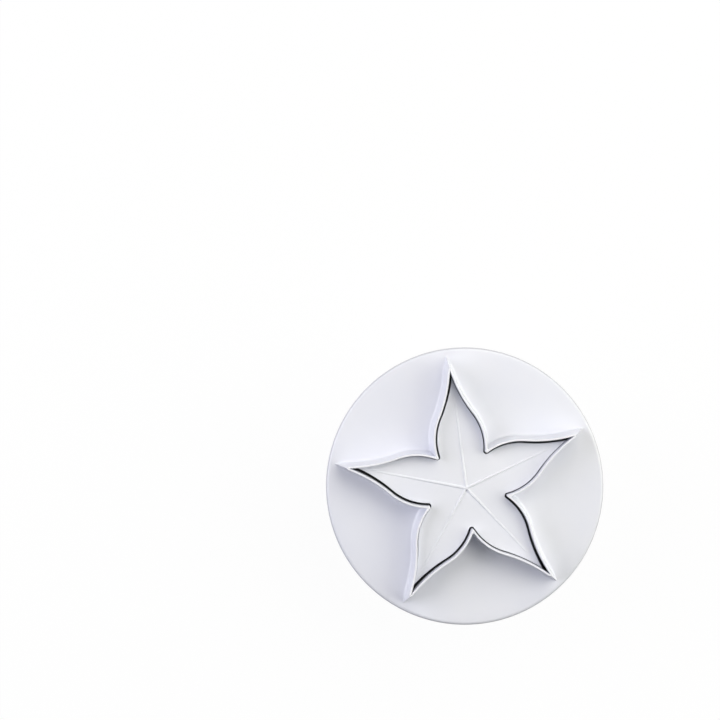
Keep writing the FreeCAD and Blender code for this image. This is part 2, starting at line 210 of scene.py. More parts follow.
class StageSettings(bpy.types.PropertyGroup):
    """Floor, lamps and camera."""
    floor: colour("Floor", "Paper that the cutter stands on", (0.93, 0.93, 0.93))
    floor_half: length("Floor half", "Axis to the floor's edges", 3.0)
    floor_white: share("Floor white", "Part of the floor's look that is plain white beyond the disc", 0.95)
    floor_contact: share("Floor contact", "The same part beside the knob, where the shadow is", 0.45)
    contact_start: length("Contact start", "Axis to where that shadow is deepest", 0.010)
    contact_reach: length("Contact reach", "Axis to the end of that shadow", 0.036)
    white_reach: length("White reach", "Axis to where the floor is all white", 0.5)
    sky: colour("Sky", "Soft light from all round", (0.86, 0.90, 1.0))
    sky_strength: FloatProperty(name="Sky strength", description="Level of that light", default=0.10)
    lamp_size: length("Lamp size", "Width of each lamp", 0.62)
    lamp_distance: length("Lamp distance", "Each lamp to the cutter", 0.70)
    right_power: watts("Right power", "Power of the lamp at the right of the picture", 3.0)
    right_colour: colour("Right colour", "Colour of that lamp", (1.0, 1.0, 0.93))
    right_heading: angle("Right heading", "Direction of that lamp round the axis", 32.8)
    right_height: angle("Right height", "That lamp above the horizon", 32.0)
    left_power: watts("Left power", "Power of the lamp at the left of the picture", 3.5)
    left_colour: colour("Left colour", "Colour of that lamp", (0.94, 0.93, 1.0))
    left_heading: angle("Left heading", "Direction of that lamp round the axis", 194.8)
    left_height: angle("Left height", "That lamp above the horizon", 30.0)
    upper_power: watts("Upper power", "Power of the lamp at the top of the picture", 2.65)
    upper_colour: colour("Upper colour", "Colour of that lamp", (1.0, 0.97, 0.89))
    upper_heading: angle("Upper heading", "Direction of that lamp round the axis", 89.8)
    upper_height: angle("Upper height", "That lamp above the horizon", 50.0)
    camera_right: length("Camera right", "Camera beside the axis, along the picture", -0.02905)
    camera_up: length("Camera up", "Camera beside the axis, up the picture", 0.0350)
    camera_height: length("Camera height", "Camera above the disc's face", 0.380)
    camera_turn: angle("Camera turn", "Turn of the picture about the axis", 27.8)
    lens: FloatProperty(name="Lens", description="Focal length in millimetres", default=68.6)


# Mesh from a grid

def skin(name, points, ring, sharp_degrees=32.0):
    """A closed mesh over a grid of points, rows along a section and columns round the axis.

    Columns always close on themselves. With ring, rows do too; otherwise the first and last row are each
    one point on the axis. A face joins a row to the next one and a column to the next one.
    """
    rows, columns = points.shape[:2]
    if ring:
        index = np.arange(rows * columns).reshape(rows, columns)
        here, there = index, np.roll(index, -1, axis=0)
        spots = points.reshape(-1, 3)
        caps = []
    else:
        spots = np.concatenate([points[1:-1].reshape(-1, 3), points[:1, 0], points[-1:, 0]])
        index = np.arange((rows - 2) * columns).reshape(rows - 2, columns)
        here, there = index[:-1], index[1:]
        first, last = np.full(columns, len(spots) - 2), np.full(columns, len(spots) - 1)
        head = np.stack([first, index[0], np.roll(index[0], -1)], axis=-1)
        tail = np.stack([index[-1], last, np.roll(index[-1], -1)], axis=-1)
        caps = head.tolist() + tail.tolist()
    after, below = np.roll(here, -1, axis=1), np.roll(there, -1, axis=1)
    quads = np.stack([here, there, below, after], axis=-1).reshape(-1, 4)
    mesh = bpy.data.meshes.new(name)
    mesh.from_pydata(spots.tolist(), [], quads.tolist() + caps)
    mesh.shade_smooth()
    mesh.set_sharp_from_angle(angle=math.radians(sharp_degrees))
    piece = bpy.data.objects.new(name, mesh)
    bpy.context.scene.collection.objects.link(piece)
    return piece


def mark(piece, name, values, ring):
    """Puts a number on each point of a grid's mesh, for its material to read."""
    numbers = values.reshape(-1) if ring else np.concatenate(
        [values[1:-1].reshape(-1), values[:1, 0], values[-1:, 0]])
    layer = piece.data.attributes.new(name, "FLOAT", "POINT")
    layer.data.foreach_set("value", numbers.astype(np.float32))


def place(piece, material, body, slot, *nodes):
    """Gives a piece its material and its body, and hides the nodes that it stands for; slot is not used."""
    piece.data.materials.append(material)
    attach(piece, body)
    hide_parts(*nodes)


# Calyx outline

def sepal_columns(columns):
    """Headings of the grid's columns and how far each lies from the nearest sepal's axis.

    Within each half of a sepal the heading follows s = 3q^2 - 2q^3, so columns crowd at tips and notches.
    """
    steps = np.arange(2 * SEPALS * columns) / columns
    half = np.floor(steps)
    part = steps - half
    eased = part ** 2 * (3 - 2 * part)
    folded = np.where(half % 2 == 0, eased, 1 - eased) * SECTOR
    return FIRST_SEPAL + (half + eased) * SECTOR, folded


def calyx_radius(shape, folded, offset, notch):
    """Distance from the axis to the calyx outline, moved outwards by an offset.

    A ray at the folded heading meets one of four curves: near the tip a straight side (outside the hollow
    only), then a concave arc, a convex belly arc and the notch arc. A circle with centre c and radius k is
    met at c.e -+ sqrt((c.e)^2 - c.c + k^2), where e is the ray's direction. The straight side leads from the
    shoulder (a, b) to a point (p, 0) and is met at p b / (b cos t + (p - a) sin t), where t is the heading.
    """
    belly = np.array([shape.belly_station, shape.belly_half_width - shape.belly_radius])
    tip = np.array([shape.tip_radius, 0.0])
    reach = np.linalg.norm(tip - belly)
    both = shape.belly_radius + shape.tip_curve
    along = (reach ** 2 + both ** 2 - shape.tip_curve ** 2) / (2 * reach)
    ahead = (tip - belly) / reach
    aside = np.array([-ahead[1], ahead[0]])
    hollow = belly + ahead * along + aside * math.sqrt(both ** 2 - along ** 2)
    lean = (hollow - tip) / np.linalg.norm(hollow - tip)

    cosine, sine = np.cos(folded), np.sin(folded)

    def meet(centre_x, centre_y, radius, sense):
        middle = centre_x * cosine + centre_y * sine
        inside = middle ** 2 - centre_x ** 2 - centre_y ** 2 + radius ** 2
        return middle + sense * np.sqrt(np.maximum(inside, 0))

    belly_radius = shape.belly_radius + offset
    hollow_radius = shape.tip_curve - offset
    ridge = np.array([math.cos(SECTOR), math.sin(SECTOR)])
    toward = belly @ ridge
    valley = toward + np.sqrt(toward ** 2 - belly @ belly + (belly_radius + notch) ** 2)
    valley_x, valley_y = valley * ridge[0], valley * ridge[1]

    bend = belly + (hollow - belly) / both * belly_radius[..., None]
    bend_at = np.arctan2(bend[..., 1], bend[..., 0])
    slant = np.hypot(belly[0] - valley_x, belly[1] - valley_y)
    notch_x = valley_x + (belly[0] - valley_x) / slant * notch
    notch_y = valley_y + (belly[1] - valley_y) / slant * notch
    notch_at = np.arctan2(notch_y, notch_x)
    shoulder = tip + lean * offset[..., None]
    shoulder_x, shoulder_y = shoulder[..., 0], np.maximum(shoulder[..., 1], 1e-9)
    shoulder_at = np.where(offset > 0, np.arctan2(shoulder_y, shoulder_x), -1)
    drop = np.clip((offset - shape.edge_thickness) / (shape.foot_thickness - shape.edge_thickness), 0, 1)
    rise = np.clip(offset / shape.edge_thickness, 0, 1)
    beyond = np.maximum(offset - shape.foot_thickness, 0)
    point = tip[0] + shape.edge_tip * rise + (shape.foot_tip - shape.edge_tip) * drop + beyond

    soft_sine = np.sqrt(sine ** 2 + shape.ridge_softness ** 2)
    straight = point * shoulder_y / (shoulder_y * cosine + (point - shoulder_x) * soft_sine)
    curved = meet(hollow[0], hollow[1], hollow_radius, -1)
    bulged = meet(belly[0], belly[1], belly_radius, 1)
    filled = meet(valley_x, valley_y, notch, -1)
    outline = np.where(folded < bend_at, curved, np.where(folded < notch_at, bulged, filled))
    return np.where(folded < shoulder_at, straight, outline)


def stretch(offset, round_share, round_radius, level):
    """Rows of a section: outline offset, share of a circle in the row, that circle's radius, and height."""
    rows = np.broadcast_arrays(*np.atleast_1d(offset, round_share, round_radius, level))
    return np.stack(rows, axis=-1).astype(float)


def star(pairs):
    """Rows along the calyx outline from pairs of offset and height."""
    return stretch(pairs[:, 0], 0, 0, pairs[:, 1])


def circle(pairs):
    """Rows along a circle from pairs of radius and height."""
    return stretch(0, 1, pairs[:, 0], pairs[:, 1])


def star_grid(shape, section, notch, heading, folded):
    """Points of a section carried round the axis.

    A row's radius is (1 - s) times the calyx outline at its offset plus s times its circle.
    """
    offset, round_share, round_radius, level = section.T[..., None]
    outline = calyx_radius(shape, folded[None, :], offset, notch[:, None])
    radius = (1 - round_share) * outline + round_share * round_radius
    height = np.broadcast_to(level, radius.shape)
    return np.stack([radius * np.cos(heading), radius * np.sin(heading), height], axis=-1)


def turned_grid(section, columns):
    """Points of a section of radii and heights turned round the axis."""
    heading = np.arange(columns) * 2 * math.pi / columns
    radius, height = section.T[..., None]
    across = radius * np.cos(heading), radius * np.sin(heading)
    return np.stack([*across, np.broadcast_to(height, across[0].shape)], axis=-1)


def run(start, end, rows):
    """Evenly spaced pairs from one place to another, without the first."""
    return np.linspace(start, end, rows + 1)[1:]


def bow(centre, radius, start_degrees, end_degrees, rows):
    """Pairs along a circular arc in the section's plane, without the first."""
    turn = np.radians(np.linspace(start_degrees, end_degrees, rows + 1)[1:])
    return np.stack([centre[0] + radius * np.cos(turn), centre[1] + radius * np.sin(turn)], axis=-1)


# Finishes

def new_material(name):
    """An empty node material, with its shader and its Object coordinates."""
    material = bpy.data.materials.new(name)
    material.use_nodes = True
    nodes = material.node_tree.nodes
    shader = nodes["Principled BSDF"]
    where = nodes.new("ShaderNodeTexCoord").outputs["Object"]
    return material, shader, where


def add(material, kind, values=None, **links):
    """A new node with values and links for its inputs, given by name or number."""
    tree = material.node_tree
    node = tree.nodes.new(kind)
    for key, value in (values or {}).items():
        node.inputs[key].default_value = value
    for key, source in links.items():
        tree.links.new(source, node.inputs[key.replace("_", " ")])
    return node


def cloud(material, where, scale, detail):
    """Soft noise from nought to one."""
    values = {"Scale": scale, "Detail": detail}
    return add(material, "ShaderNodeTexNoise", values, Vector=where).outputs["Fac"]


def between(material, source, low, high, from_low=0.3, from_high=0.7):
    """A number stretched to run from low to high."""
    values = {"From Min": from_low, "From Max": from_high, "To Min": low, "To Max": high}
    return add(material, "ShaderNodeMapRange", values, Value=source).outputs["Result"]


def blended(material, amount, first, second, kind="MIX"):
    """Two colours mixed by an amount; the first may be a colour or another node's."""
    node = material.node_tree.nodes.new("ShaderNodeMix")
    node.data_type = "RGBA"
    node.blend_type = kind
    ends = {6: first, 7: second}
    for number, end in ends.items():
        if isinstance(end, bpy.types.NodeSocket):
            material.node_tree.links.new(end, node.inputs[number])
        else:
            node.inputs[number].default_value = (*end, 1.0)
    material.node_tree.links.new(amount, node.inputs[0])
    return node.outputs[2]


def number_on_mesh(material, name):
    """A number that mark() put on the mesh."""
    node = material.node_tree.nodes.new("ShaderNodeAttribute")
    node.attribute_name = name
    return node.outputs["Fac"]


def moulded_plastic(name, tint, roughness, grain, painted_shade_strength):
    """White injection-moulded plastic.

    Slow clouds shift its tint, finer ones its gloss, and a fine grain dimples it. Marked edges and vein
    crests are painted paler, a painted highlight; the narrow gap round the die is painted near-black and a
    thin band round the rim grey, both painted shade.
    """
    material, shader, where = new_material(name)
    link = material.node_tree.links.new
    highlight_tint = [1 - (1 - part) * 0.72 for part in tint]
    cool = [part * shift for part, shift in zip(tint, (0.955, 0.962, 0.985))]
    drift = between(material, cloud(material, where, 55.0, 3.0), 0, 1)
    base = blended(material, drift, tint, cool)
    # Painted highlight: where the mesh marks it, the colour is painted paler.
    worn = between(material, number_on_mesh(material, "worn"), 0, 0.85, 0, 1)
    base = blended(material, worn, base, highlight_tint)
    # Painted shade: where the mesh marks it, the colour is painted towards near-black, by up to the shade
    # strength.
    deep = between(material, number_on_mesh(material, "deep"), 0, painted_shade_strength, 0, 1)
    base = blended(material, deep, base, (0.02, 0.02, 0.024))
    link(base, shader.inputs["Base Color"])

    gloss = between(material, cloud(material, where, 420.0, 4.0), roughness - 0.05, roughness + 0.06)
    link(gloss, shader.inputs["Roughness"])
    shader.inputs["Specular IOR Level"].default_value = 0.45

    sink = cloud(material, where, 130.0, 2.0)
    pores = cloud(material, where, 2600.0, 3.0)
    broad = add(material, "ShaderNodeBump", {"Strength": 0.25, "Distance": 0.00004}, Height=sink)
    fine = add(material, "ShaderNodeBump", {"Strength": grain, "Distance": 0.00001}, Height=pores)
    link(broad.outputs["Normal"], fine.inputs["Normal"])
    link(fine.outputs["Normal"], shader.inputs["Normal"])
    return material


def turned_plastic(name, tint, roughness):
    """Plain white plastic bar with faint rings from its making."""
    material, shader, where = new_material(name)
    link = material.node_tree.links.new
    darker = [part * 0.93 for part in tint]
    drift = between(material, cloud(material, where, 160.0, 3.0), 0, 1)
    link(blended(material, drift, tint, darker), shader.inputs["Base Color"])
    values = {"Scale": 420.0, "Distortion": 1.5, "Detail": 2.0}
    wave = add(material, "ShaderNodeTexWave", values, Vector=where)
    wave.bands_direction = "Z"
    rings = wave.outputs["Fac"]
    link(between(material, rings, roughness, roughness + 0.12, 0, 1), shader.inputs["Roughness"])
    bump = add(material, "ShaderNodeBump", {"Strength": 0.2, "Distance": 0.00001}, Height=rings)
    link(bump.outputs["Normal"], shader.inputs["Normal"])
    return material


def drawn_wire(name, tint):
    """Bright spring steel, streaked along the wire by the plate that it was drawn through."""
    material, shader, _ = new_material(name)
    link = material.node_tree.links.new
    along = material.node_tree.nodes.new("ShaderNodeUVMap").outputs["UV"]
    stretched = add(material, "ShaderNodeMapping", {"Scale": (3.0, 40.0, 1.0)}, Vector=along)
    streaks = cloud(material, stretched.outputs["Vector"], 6.0, 4.0)
    darker = [part * 0.72 for part in tint]
    link(blended(material, between(material, streaks, 0, 1), tint, darker), shader.inputs["Base Color"])
    link(between(material, streaks, 0.22, 0.38), shader.inputs["Roughness"])
    shader.inputs["Metallic"].default_value = 1.0
    bump = add(material, "ShaderNodeBump", {"Strength": 0.3, "Distance": 0.00001}, Height=streaks)
    link(bump.outputs["Normal"], shader.inputs["Normal"])
    return material


# Pieces

def moulding_section(shape, sizes):
    """Section of disc, wall and stem in one closed run, with the painted highlight of each row.

    It goes from the guide hole out over the hollow's floor, up the wall's inner side, over the cutting edge,
    down the drafted outer side, out over the disc, round its rim, in to the stem, down it and back up its
    bore.
    """
    face, back, rim = DISC_HIGH.z, DISC_LOW.z, DISC_HIGH.x
    edge, end, stem_foot = WALL_HIGH.z, STEM_LOW.z, STEM_HIGH.x
    thin, thick, blunt = shape.edge_thickness, shape.foot_thickness, sizes.edge_round
    fillet, rounding = sizes.foot_fillet, sizes.rim_round
    slope = (thick - thin) / (edge - face)
    low, high = face + fillet, edge - blunt
    foot = thick - slope * fillet
    bore, guide, chamfer = sizes.bore_radius, sizes.guide_radius, sizes.mouth_chamfer
    stem_round, root = sizes.stem_end_round, sizes.stem_fillet
    mouth = sizes.stem_end_radius - stem_round

    floor = stretch(0, 1 - np.linspace(0, 1, 9), guide, face)
    inner = star(run((0, face), (0, high), 14))
    edge_in = star(bow((blunt, high), blunt, 180, 90, 5))
    edge_out = star(np.concatenate([
        run((blunt, edge), (thin - blunt, edge), 1),
        bow((thin - blunt, high), blunt, 90, 0, 5),
    ]))
    outer = star(run((thin, high), (foot, low), 14))
    toe = star(bow((foot + fillet, low), fillet, 180, 270, 9))
    flat = stretch(foot + fillet, np.linspace(0, 1, 11)[1:], rim - rounding, face)
    upper_rim = circle(bow((rim - rounding, face - rounding), rounding, 90, 0, 8))
    lower_rim = circle(np.concatenate([
        run((rim, face - rounding), (rim, back + rounding), 1),
        bow((rim - rounding, back + rounding), rounding, 0, -90, 8),
    ]))
    under = circle(run((rim - rounding, back), (stem_foot + root, back), 8))
    stem_root = circle(bow((stem_foot + root, back - root), root, 90, 180, 5))
    stem = circle(run((stem_foot, back - root), (sizes.stem_end_radius, end + stem_round), 10))
    lip = circle(bow((mouth, end + stem_round), stem_round, 0, -90, 6))
    inside = circle(np.concatenate([
        run((mouth, end), (bore + chamfer, end), 1),
        run((bore + chamfer, end), (bore, end + chamfer), 1),
        run((bore, end + chamfer), (bore, back), 8),
        run((bore, back), (guide, back), 3),
        run((guide, back), (guide, face), 3)[:-1],
    ]))
    # The number with each block is its painted highlight: the cutting edge and the stem's lip are painted
    # paler.
    blocks = [
        (floor, 0), (inner, 0), (edge_in, 1), (edge_out, 1), (outer, 0), (toe, 0), (flat, 0), (upper_rim, 0),
        (lower_rim, 0), (under, 0), (stem_root, 0), (stem, 0), (lip, 0.6), (inside, 0),
    ]
    worn = np.concatenate([np.full(len(rows), amount) for rows, amount in blocks])
    return np.concatenate([rows for rows, _ in blocks]), worn


# Sets how much painted shade the gap round the die gets.
def gap_depth(level, die_face, reach):
    """How deep in the gap round the die a height lies: nought at the die's face, one that far below it."""
    return np.clip((die_face - level) / reach, 0, 1)


class CUTTER_OT_moulding(bpy.types.Operator):
    """Makes disc, calyx wall and stem as the one moulding that they seem to be"""
    bl_idname = "cutter.moulding"
    bl_label = "Disc, wall and stem"

    def execute(self, context):
        shape, sizes, finish = context.scene.calyx_shape, context.scene.moulding_sizes, context.scene.finishes
        heading, folded = sepal_columns(shape.columns)
        section, worn = moulding_section(shape, sizes)
        spread = np.clip(section[:, 0] / shape.edge_thickness, 0, 1)
        notch = shape.notch_round + (shape.outer_notch - shape.notch_round) * spread
        points = star_grid(shape, section, notch, heading, folded)
        piece = skin("cutter_moulding", points, True)
        die_face = WALL_HIGH.z - context.scene.die_sizes.retraction
        # Painted shade: the wall's inner side below the die's face is painted darker with depth.
        in_gap = (section[:, 0] <= 0) & (section[:, 1] < 1)
        deep = np.where(in_gap, gap_depth(section[:, 3], die_face, finish.gap_shade_reach), 0)
        # Painted shade: a grey band painted round the rim's outer edge.
        at_rim = section[:, 2] > DISC_HIGH.x - RIM_SHADE_SHARE * sizes.rim_round
        deep = np.where(at_rim, finish.rim_shade, deep)
        mark(piece, "worn", np.broadcast_to(worn[:, None], points.shape[:2]), True)
        mark(piece, "deep", np.broadcast_to(deep[:, None], points.shape[:2]), True)
        plastic = moulded_plastic(
            "white_plastic", finish.plastic, finish.gloss_roughness, 0.18, finish.painted_shade_strength)
        place(piece, plastic, "cutter", "disc_plastic", "guard_disc", "calyx_wall", "stem_sleeve")
        return {"FINISHED"}


def vein_rise(sizes, across, along):
    """Height of the veins over the die's face.

    Along a sepal the ridge falls evenly from the hub to its tail and then fades out; across it the height
    follows 1 - 3q^2 + 2q^3 from the crest to the foot.
    """
    part = np.clip(along / sizes.vein_length, 0, 1)
    fade = 1 - np.clip((along / sizes.vein_length - VEIN_FADE_SHARE) / (1 - VEIN_FADE_SHARE), 0, 1)
    crest = sizes.vein_height + (sizes.vein_tail_height - sizes.vein_height) * part
    half = (sizes.vein_width + (sizes.vein_tail_width - sizes.vein_width) * part) / 2
    flank = np.clip((across / half - VEIN_CREST_SHARE) / (1 - VEIN_CREST_SHARE), 0, 1)
    return crest * fade * (1 - flank ** 2 * (3 - 2 * flank))


def die_section(sizes):
    """Section of the die, and the number of its rows that make the face.

    It goes from the middle of the face over its edge, down the side and up inside the skirt.
    """
    face, seat = WALL_HIGH.z - sizes.retraction, DISC_HIGH.z
    back = face - sizes.plate_thickness
    gap, rounding, skirt = -sizes.clearance, sizes.edge_round, sizes.skirt_thickness
    boss, socket = sizes.boss_radius, sizes.socket_radius

    top = stretch(gap - rounding, 1 - np.linspace(0, 1, DIE_ROWS) ** DIE_CROWDING, 0, face)
    side = star(np.concatenate([
        bow((gap - rounding, face - rounding), rounding, 90, 0, 6),
        run((gap, face - rounding), (gap, seat), 12),
        run((gap, seat), (gap - skirt, seat), 1),
        run((gap - skirt, seat), (gap - skirt, back), 2),
    ]))
    ceiling = stretch(gap - skirt, np.linspace(0, 1, 4)[1:], boss, back)
    inside = circle(np.concatenate([
        run((boss, back), (boss, seat), 1),
        run((boss, seat), (socket, seat), 1),
        run((socket, seat), (socket, back), 1),
        run((socket, back), (0, back), 1),
    ]))
    return np.concatenate([top, side, ceiling, inside]), len(top)


class CUTTER_OT_die(bpy.types.Operator):
    """Makes the embossing die with its five veins"""
    bl_idname = "cutter.die"
    bl_label = "Embossing die"

    def execute(self, context):
        shape, sizes, finish = context.scene.calyx_shape, context.scene.die_sizes, context.scene.finishes
        heading, folded = sepal_columns(shape.columns)
        section, top_rows = die_section(sizes)
        notch = shape.notch_round - section[:, 0]
        points = star_grid(shape, section, notch, heading + sizes.twist, folded)
        radius = np.hypot(points[..., 0], points[..., 1])
        rise = vein_rise(sizes, radius * np.sin(folded), radius * np.cos(folded))
        pit_x = points[..., 0] - sizes.pit_distance * math.cos(sizes.pit_heading)
        pit_y = points[..., 1] - sizes.pit_distance * math.sin(sizes.pit_heading)
        rise = rise - sizes.pit_depth * np.exp(-(pit_x ** 2 + pit_y ** 2) / sizes.pit_radius ** 2)
        points[:top_rows, :, 2] += rise[:top_rows]
        piece = skin("embossing_die_face", points, False)
        die_face = WALL_HIGH.z - sizes.retraction
        # Painted shade: the die's sides below its face are painted darker with depth.
        below_face = np.arange(len(section)) >= top_rows
        deep = np.where(below_face, gap_depth(section[:, 3], die_face, finish.gap_shade_reach), 0)
        # Painted highlight: the veins' crests are painted paler by their height.
        crest = np.zeros(points.shape[:2])
        crest[:top_rows] = np.clip(rise[:top_rows] / sizes.vein_height, 0, 1) * sizes.vein_highlight
        mark(piece, "worn", crest, False)
        mark(piece, "deep", np.broadcast_to(deep[:, None], points.shape[:2]), False)
        plastic = moulded_plastic(
            "die_plastic", finish.die_plastic, finish.satin_roughness, 0.28, finish.painted_shade_strength)
        place(piece, plastic, "plunger", "die_plastic", "embossing_die")
        return {"FINISHED"}


class CUTTER_OT_knob(bpy.types.Operator):
    """Makes the push knob: a round rim, a concave flare and a hollow neck with a collar"""
    bl_idname = "cutter.knob"
    bl_label = "Push knob"

    def execute(self, context):
        sizes, finish = context.scene.knob_sizes, context.scene.finishes
        rim, top = KNOB_HIGH.x, KNOB_HIGH.z
        floor, rounding, neck = sizes.rim_height, sizes.rim_round, sizes.neck_radius
        flat = rim - rounding
        flare = flat - neck
        hollow, collar, chamfer = neck - sizes.skirt_thickness, sizes.collar_radius, sizes.collar_chamfer
        collar_foot = top - sizes.collar_height
        section = np.concatenate([
            np.zeros((1, 2)),
            run((0, 0), (flat, 0), 8),
            bow((flat, rounding), rounding, -90, 0, 8),
            bow((flat, floor - rounding), rounding, 0, 90, 8),
            bow((flat, floor + flare), flare, 270, 180, 16),
            run((neck, floor + flare), (neck, collar_foot - collar + neck), 2),
            run((neck, collar_foot - collar + neck), (collar, collar_foot), 1),
            run((collar, collar_foot), (collar, top - chamfer), 2),
            run((collar, top - chamfer), (collar - chamfer, top), 1),
            run((collar - chamfer, top), (hollow, top), 1),
            run((hollow, top), (hollow, floor), 4),
            run((hollow, floor), (sizes.boss_radius, floor), 1),
            run((sizes.boss_radius, floor), (sizes.boss_radius, sizes.boss_level), 2),
            run((sizes.boss_radius, sizes.boss_level), (sizes.socket_radius, sizes.boss_level), 1),
            run((sizes.socket_radius, sizes.boss_level), (sizes.socket_radius, floor), 2),
            run((sizes.socket_radius, floor), (0, floor), 1),
        ])
        points = turned_grid(section, sizes.columns)
        piece = skin("knob_cap", points, False)
        # Painted highlight: the knob's rim rounding is painted paler.
        worn = np.where((section[:, 0] > flat) & (section[:, 1] < floor), 0.6, 0)
        mark(piece, "worn", np.broadcast_to(worn[:, None], points.shape[:2]), False)
        mark(piece, "deep", np.zeros(points.shape[:2]), False)
        plastic = moulded_plastic("knob_plastic", finish.plastic, finish.gloss_roughness, 0.18, finish.painted_shade_strength)
        place(piece, plastic, "plunger", "knob_plastic", "push_knob")
        return {"FINISHED"}


def coil_path(sizes, coil):
    """The wire's centre after a number of coils, and its direction.

    It turns evenly at the mean radius. Its rise is the closed pitch times the coil plus a slack, which a
    smooth step opens after the first closed coil and shuts before the last.
    """
    mean = (SPRING_HIGH.x - SPRING_LOW.x - 2 * sizes.wire) / 2 + sizes.wire / 2
    pitch = sizes.wire + sizes.coil_gap
    ramp = sizes.ramp
    height = SPRING_HIGH.z - SPRING_LOW.z - sizes.wire
    open_coils = sizes.coils - 2 * sizes.closed_coils - ramp
    slack = (height - pitch * sizes.coils) / open_coils
    rise, slope = np.zeros_like(coil), np.zeros_like(coil)
    for start, sense in ((sizes.closed_coils, 1), (sizes.coils - sizes.closed_coils - ramp, -1)):
        part = np.clip((coil - start) / ramp, 0, 1)
        slope += sense * part ** 2 * (3 - 2 * part)
        rise += sense * (ramp * (part ** 3 - part ** 4 / 2) + np.maximum(coil - start - ramp, 0))
    turn = 2 * math.pi * coil
    level = SPRING_LOW.z + sizes.wire / 2 + pitch * coil + slack * rise
    spot = np.stack([mean * np.cos(turn), mean * np.sin(turn), level], axis=-1)
    climb = (pitch + slack * slope) / (2 * math.pi * mean)
    ahead = np.stack([-np.sin(turn), np.cos(turn), climb], axis=-1)
    return spot, ahead / np.linalg.norm(ahead, axis=-1, keepdims=True)


class CUTTER_OT_spring(bpy.types.Operator):
    """Winds the return spring"""
    bl_idname = "cutter.spring"
    bl_label = "Return spring"

    def execute(self, context):
        sizes, finish = context.scene.spring_sizes, context.scene.finishes
        coil = np.linspace(0, sizes.coils, sizes.coils * sizes.steps + 1)
        spot, ahead = coil_path(sizes, coil)
        turn = 2 * math.pi * coil
        outward = np.stack([np.cos(turn), np.sin(turn), np.zeros_like(turn)], axis=-1)
        upward = np.cross(ahead, outward)
        around = np.arange(sizes.sides) * 2 * math.pi / sizes.sides
        ring = outward[:, None] * np.cos(around)[:, None] + upward[:, None] * np.sin(around)[:, None]
        tube = spot[:, None] + ring * sizes.wire / 2
        first = np.broadcast_to(spot[:1, None], tube[:1].shape)
        last = np.broadcast_to(spot[-1:, None], tube[:1].shape)
        points = np.concatenate([first, tube, last])[:, ::-1]
        piece = skin("spring_wire", points, False)
        corner = np.empty(len(piece.data.loops), dtype=np.int32)
        piece.data.loops.foreach_get("vertex_index", corner)
        grid = np.stack(np.meshgrid(coil, around / (2 * math.pi), indexing="ij"), axis=-1).reshape(-1, 2)
        grid = np.concatenate([grid, [[0, 0], [sizes.coils, 0]]])
        piece.data.uv_layers.new(name="wire").data.foreach_set("uv", grid[corner].astype(np.float32).ravel())
        place(piece, drawn_wire("spring_steel", finish.steel), "cutter", "spring_steel", "return_spring")
        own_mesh(piece)
        return {"FINISHED"}


class CUTTER_OT_shaft(bpy.types.Operator):
    """Gives the plunger shaft its finish"""
    bl_idname = "cutter.shaft"
    bl_label = "Plunger shaft"

    def execute(self, context):
        finish = context.scene.finishes
        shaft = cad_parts["plunger_shaft"]
        shaft.data.materials.clear()
        shaft.data.materials.append(turned_plastic("shaft_plastic", finish.shaft_plastic, 0.45))
        return {"FINISHED"}


# Stage

def white_to_the_eye(tree):
    """One where a ray comes from the camera, a mirror or glass, and nought where it carries light."""
    path = tree.nodes.new("ShaderNodeLightPath")
    seen = path.outputs["Is Camera Ray"]
    for ray in ("Is Glossy Ray", "Is Transmission Ray"):
        either = tree.nodes.new("ShaderNodeMath")
        either.operation = "MAXIMUM"
        tree.links.new(seen, either.inputs[0])
        tree.links.new(path.outputs[ray], either.inputs[1])
        seen = either.outputs[0]
    return seen


def paper_floor(stage):
    """A wide sheet of white paper at z = 0.

    To the eye it is partly plain white, more so with the distance from the axis, so that the shadow under the
    cutter shows and the far end doesn't.
    """
    half = stage.floor_half
    corners = [(-half, -half, 0), (half, -half, 0), (half, half, 0), (-half, half, 0)]
    mesh = bpy.data.meshes.new("paper_floor")
    mesh.from_pydata(corners, [], [(0, 1, 2, 3)])
    floor = bpy.data.objects.new("paper_floor", mesh)
    bpy.context.scene.collection.objects.link(floor)
    material, shader, where = new_material("white_paper")
    tree = material.node_tree
    darker = [part * 0.985 for part in stage.floor]
    fibres = between(material, cloud(material, where, 900.0, 4.0), 0, 1)
    tree.links.new(blended(material, fibres, stage.floor, darker), shader.inputs["Base Color"])
    shader.inputs["Roughness"].default_value = 0.9
    shader.inputs["Specular IOR Level"].default_value = 0.1
    glow = tree.nodes.new("ShaderNodeEmission")
    away = add(material, "ShaderNodeVectorMath", Vector=where)
    away.operation = "LENGTH"
    away = away.outputs["Value"]
    near = between(
        material, away, stage.floor_contact, stage.floor_white, stage.contact_start, stage.contact_reach)
    far = between(material, away, 0, 1 - stage.floor_white, stage.contact_reach, stage.white_reach)
    both = add(material, "ShaderNodeMath", Value=near)
    tree.links.new(far, both.inputs[1])
    part = add(material, "ShaderNodeMath", Value=both.outputs[0])
    part.operation = "MULTIPLY"
    tree.links.new(white_to_the_eye(tree), part.inputs[1])
    mix = tree.nodes.new("ShaderNodeMixShader")
    tree.links.new(part.outputs[0], mix.inputs[0])
    tree.links.new(shader.outputs[0], mix.inputs[1])
    tree.links.new(glow.outputs[0], mix.inputs[2])
    tree.links.new(mix.outputs[0], tree.nodes["Material Output"].inputs["Surface"])
    mesh.materials.append(material)


